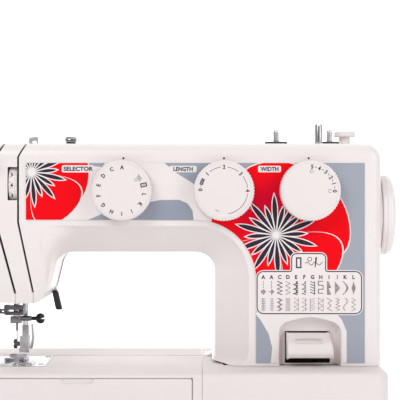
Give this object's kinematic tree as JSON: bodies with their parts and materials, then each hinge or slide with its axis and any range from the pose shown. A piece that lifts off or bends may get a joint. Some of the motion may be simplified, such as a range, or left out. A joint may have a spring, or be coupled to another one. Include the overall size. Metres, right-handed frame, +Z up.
{
  "type": "sewing machine",
  "caption": "Domestic free-arm sewing machine with front dials, a printed front panel, a storage table round the arm, and a rear carrying handle.",
  "frame": {"origin": "on the table, under the middle of the machine's bounding box", "axes": "+X towards the handwheel, +Y towards the back, +Z up"},
  "size_m": [0.39, 0.176, 0.299],
  "materials": {
    "white_gloss": "smooth moulded gloss",
    "dial_white": "satin moulded plastic",
    "printed_panel": "printed film, gloss",
    "black_plastic": "fine satin",
    "clear_plastic": "clear",
    "chrome": "polished plate",
    "steel": "machined",
    "cast_alloy": "as cast",
    "motor_black": "satin enamel",
    "rubber": "matt"
  },
  "bodies": {
    "machine": {"front_cover": "white_gloss", "rear_cover": "white_gloss", "thread_channel_cover": "white_gloss", "decor_panel": "printed_panel", "base_cover": "white_gloss", "base_tray": "white_gloss", "free_arm_cover": "white_gloss", "needle_plate": "steel", "chassis": "cast_alloy", "drive_motor": "motor_black", "motor_belt": "rubber", "timing_belt": "rubber", "power_inlet": "black_plastic", "top_thread_guide": "steel", "winder_tension_guide": "chrome", "winder_stopper": "dial_white", "rubber_foot_front_left": "rubber", "rubber_foot_rear_left": "rubber", "rubber_foot_front_right": "rubber", "rubber_foot_rear_right": "rubber", "bobbin_case": "black_plastic"},
    "drive_shaft": {"main_shaft": "steel", "crank_counterweight": "steel", "double_pulley": "black_plastic", "handwheel": "white_gloss"},
    "hook_drive": {"lower_shaft": "steel"},
    "hook": {"rotary_hook": "steel"},
    "thread_bobbin": {"bobbin": "clear_plastic"},
    "motor_rotor": {"motor_pulley": "steel"},
    "needle_frame": {"needle_bar_frame": "cast_alloy"},
    "needle_carrier": {"needle_bar": "chrome", "needle_bar_link": "steel", "needle_clamp": "steel", "needle": "chrome"},
    "clamp_screw": {"needle_clamp_screw": "black_plastic"},
    "threader": {"needle_threader": "steel"},
    "take_up": {"take_up_lever": "chrome"},
    "presser": {"presser_bar": "chrome", "foot_holder": "steel"},
    "shank_screw": {"foot_screw": "chrome"},
    "foot_release": {"foot_release_lever": "steel"},
    "foot": {"presser_foot": "steel"},
    "lifter": {"presser_lever": "black_plastic"},
    "feed_carrier": {"feed_bar": "cast_alloy"},
    "feed_teeth": {"feed_dog": "steel"},
    "stitch_selector": {"selector_dial": "dial_white"},
    "length_control": {"length_dial": "dial_white"},
    "width_control": {"width_dial": "dial_white"},
    "tension_control": {"tension_dial": "dial_white"},
    "reverse_control": {"reverse_lever": "dial_white"},
    "winder_slider": {"winder_carriage": "black_plastic"},
    "winder_shaft": {"winder_spindle": "chrome"},
    "left_spool_pin": {"spool_pin_left": "chrome"},
    "right_spool_pin": {"spool_pin_right": "chrome"},
    "side_cover": {"face_cover": "white_gloss"},
    "table": {"extension_table": "white_gloss"},
    "table_door": {"storage_door": "white_gloss"},
    "handle": {"carrying_handle": "white_gloss"},
    "switch": {"power_switch": "black_plastic"},
    "bobbin_cover": {"bobbin_cover_plate": "clear_plastic"}
  },
  "joints": [
    {"name": "main_shaft_spin", "type": "hinge", "parent": "machine", "child": "drive_shaft", "pos_m": [0, 0, 0.218], "axis": [1, 0, 0], "continuous": true},
    {"name": "lower_shaft_spin", "type": "hinge", "parent": "machine", "child": "hook_drive", "pos_m": [0, 0, 0.053], "axis": [1, 0, 0], "continuous": true},
    {"name": "hook_spin", "type": "hinge", "parent": "machine", "child": "hook", "pos_m": [-0.144, -0.02, 0.07], "axis": [0, 0, 1], "continuous": true},
    {"name": "bobbin_spin", "type": "hinge", "parent": "machine", "child": "thread_bobbin", "pos_m": [-0.144, -0.02, 0.075], "axis": [0, 0, 1], "continuous": true},
    {"name": "motor_pulley_spin", "type": "hinge", "parent": "machine", "child": "motor_rotor", "pos_m": [0.16, 0.048, 0.046], "axis": [1, 0, 0], "continuous": true},
    {"name": "needle_frame_swing", "type": "hinge", "parent": "machine", "child": "needle_frame", "pos_m": [-0.144, 0.015, 0.254], "axis": [0, 1, 0], "range_deg": [-1, 1]},
    {"name": "needle_bar_slide", "type": "slide", "parent": "needle_frame", "child": "needle_carrier", "axis": [0, 0, 1], "range_m": [-0.029, 0]},
    {"name": "clamp_screw_turn", "type": "hinge", "parent": "needle_carrier", "child": "clamp_screw", "pos_m": [-0.127, 0, 0.1249], "axis": [1, 0, 0], "continuous": true},
    {"name": "threader_slide", "type": "slide", "parent": "machine", "child": "threader", "axis": [0, 0, 1], "range_m": [-0.022, 0], "stiffness_N_per_m": 40, "springref_m": 0.012},
    {"name": "take_up_swing", "type": "hinge", "parent": "machine", "child": "take_up", "pos_m": [-0.1555, 0.01, 0.225], "axis": [1, 0, 0], "range_deg": [0, 36]},
    {"name": "presser_lift", "type": "slide", "parent": "machine", "child": "presser", "axis": [0, 0, 1], "range_m": [0, 0.006]},
    {"name": "shank_screw_turn", "type": "hinge", "parent": "presser", "child": "shank_screw", "pos_m": [-0.146, 0.014, 0.1006], "axis": [1, 0, 0], "continuous": true},
    {"name": "foot_release_press", "type": "hinge", "parent": "presser", "child": "foot_release", "pos_m": [-0.1325, 0.017, 0.106], "axis": [0, 1, 0], "range_deg": [-5, 0], "stiffness_Nm_per_rad": 0.05, "springref_deg": 5.73},
    {"name": "foot_tilt", "type": "hinge", "parent": "presser", "child": "foot", "pos_m": [-0.144, 0.0084, 0.0912], "axis": [1, 0, 0], "range_deg": [-8, 0]},
    {"name": "presser_lever_swing", "type": "hinge", "parent": "machine", "child": "lifter", "pos_m": [-0.15, 0.035, 0.163], "axis": [0, -1, 0], "range_deg": [0, 50]},
    {"name": "feed_stroke", "type": "slide", "parent": "machine", "child": "feed_carrier", "axis": [0, 1, 0], "range_m": [-0.0015, 0.0015]},
    {"name": "feed_drop", "type": "slide", "parent": "feed_carrier", "child": "feed_teeth", "axis": [0, 0, 1], "range_m": [-0.0026, 0]},
    {"name": "selector_turn", "type": "hinge", "parent": "machine", "child": "stitch_selector", "pos_m": [-0.0468, -0.053, 0.239], "axis": [0, -1, 0], "continuous": true},
    {"name": "length_turn", "type": "hinge", "parent": "machine", "child": "length_control", "pos_m": [0.0404, -0.053, 0.239], "axis": [0, -1, 0], "range_deg": [-90, 170]},
    {"name": "width_turn", "type": "hinge", "parent": "machine", "child": "width_control", "pos_m": [0.114, -0.053, 0.239], "axis": [0, -1, 0], "range_deg": [0, 88]},
    {"name": "tension_turn", "type": "hinge", "parent": "machine", "child": "tension_control", "pos_m": [-0.1435, -0.0276, 0.245], "axis": [1, 0, 0], "range_deg": [-150, 150]},
    {"name": "reverse_press", "type": "hinge", "parent": "machine", "child": "reverse_control", "pos_m": [0.1131, -0.012, 0.112], "axis": [1, 0, 0], "range_deg": [0, 9], "stiffness_Nm_per_rad": 0.2, "springref_deg": -8.59},
    {"name": "winder_engage", "type": "slide", "parent": "machine", "child": "winder_slider", "axis": [1, 0, 0], "range_m": [0, 0.005]},
    {"name": "winder_spin", "type": "hinge", "parent": "winder_slider", "child": "winder_shaft", "pos_m": [0.1262, 0, 0.28], "axis": [0, 0, 1], "continuous": true},
    {"name": "left_spool_pin_lift", "type": "slide", "parent": "machine", "child": "left_spool_pin", "axis": [0, 0, 1], "range_m": [0, 0.034]},
    {"name": "right_spool_pin_lift", "type": "slide", "parent": "machine", "child": "right_spool_pin", "axis": [0, 0, 1], "range_m": [0, 0.034]},
    {"name": "side_cover_swing", "type": "hinge", "parent": "machine", "child": "side_cover", "pos_m": [-0.186, 0.02485, 0.21], "axis": [0, 0, 1], "range_deg": [-100, 0]},
    {"name": "table_slide", "type": "slide", "parent": "machine", "child": "table", "axis": [-1, 0, 0], "range_m": [0, 0.21]},
    {"name": "table_door_swing", "type": "hinge", "parent": "table", "child": "table_door", "pos_m": [-0.081, -0.088, 0.0184], "axis": [1, 0, 0], "range_deg": [0, 90]},
    {"name": "handle_swing", "type": "hinge", "parent": "machine", "child": "handle", "pos_m": [0.02, 0.062, 0.258], "axis": [1, 0, 0], "range_deg": [0, 165]},
    {"name": "switch_rock", "type": "hinge", "parent": "machine", "child": "switch", "pos_m": [0.174, -0.039, 0.038], "axis": [0, 1, 0], "range_deg": [-8, 8]},
    {"name": "bobbin_cover_lift", "type": "slide", "parent": "machine", "child": "bobbin_cover", "axis": [0, 0, 1], "range_m": [0, 0.025]}
  ],
  "couplings": [
    {"joint": "lower_shaft_spin", "follows": "main_shaft_spin", "ratio": 1},
    {"joint": "hook_spin", "follows": "main_shaft_spin", "ratio": 2},
    {"joint": "motor_pulley_spin", "follows": "main_shaft_spin", "ratio": 3.7143},
    {"joint": "presser_lever_swing", "follows": "presser_lift", "rad_per_m": 145.4}
  ]
}
